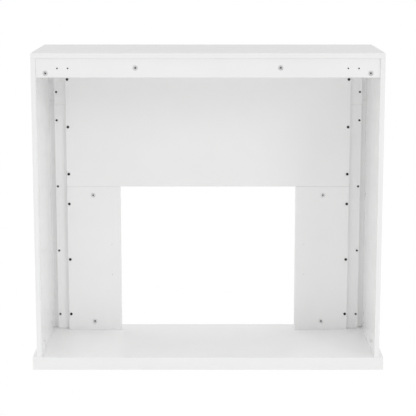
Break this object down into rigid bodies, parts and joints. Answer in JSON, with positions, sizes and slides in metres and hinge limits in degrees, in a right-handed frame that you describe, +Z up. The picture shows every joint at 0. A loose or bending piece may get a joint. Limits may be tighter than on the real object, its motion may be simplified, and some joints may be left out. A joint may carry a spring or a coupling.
{
  "type": "electric fireplace mantel surround",
  "caption": "White flat-pack mantel surround with an open back, a wide plinth and a rectangular opening for an electric firebox.",
  "frame": {"origin": "on the floor, under the middle of the base", "axes": "+X to the right as seen from the front, +Y towards the open back, +Z up; the decorated front faces -Y"},
  "size_m": [1.13, 0.368, 1.022],
  "materials": {
    "white_painted_board": "satin white paint over medium density fibreboard",
    "bare_board": "bare medium density fibreboard",
    "softwood_block": "planed softwood",
    "beech_dowel": "fluted beech",
    "zinc_cam": "die-cast zinc, bright, with a dark recess",
    "plated_steel": "zinc-plated steel",
    "black_screw": "black oxide steel",
    "dark_screw": "dark bronze-black plated steel"
  },
  "bodies": {
    "root": {"base_board": "white_painted_board", "base_brace_centre": "bare_board", "base_brace_left": "bare_board", "base_brace_right": "bare_board", "base_brace_screws": "plated_steel", "base_corner_block_front_left": "softwood_block", "base_corner_block_front_right": "softwood_block", "base_corner_block_rear_left": "softwood_block", "base_corner_block_rear_right": "softwood_block", "base_front_apron": "white_painted_board", "base_left_apron": "white_painted_board", "base_rear_apron": "white_painted_board", "base_right_apron": "white_painted_board", "frame_dowels": "beech_dowel", "frieze_face": "white_painted_board", "header_backing": "white_painted_board", "lower_surround_panel_left": "white_painted_board", "lower_surround_panel_right": "white_painted_board", "pilaster_face_left": "white_painted_board", "pilaster_face_right": "white_painted_board", "rail_cam_bolts": "plated_steel", "rail_cam_nuts": "zinc_cam", "rail_dowels": "beech_dowel", "rear_top_rail": "white_painted_board", "side_dowels": "beech_dowel", "side_foot_cam_bolts": "plated_steel", "side_foot_cam_nuts": "zinc_cam", "side_front_cam_bolts": "plated_steel", "side_front_cam_nuts": "zinc_cam", "side_head_cam_bolts": "plated_steel", "side_head_cam_nuts": "zinc_cam", "side_panel_left": "white_painted_board", "side_panel_right": "white_painted_board", "stile_left": "white_painted_board", "stile_right": "white_painted_board", "stile_screws": "dark_screw", "surround_cam_bolts": "plated_steel", "surround_cam_nuts": "zinc_cam", "surround_dowels": "beech_dowel", "surround_panel_screws": "black_screw", "top_board": "white_painted_board", "upper_surround_panel": "white_painted_board"}
  },
  "joints": []
}
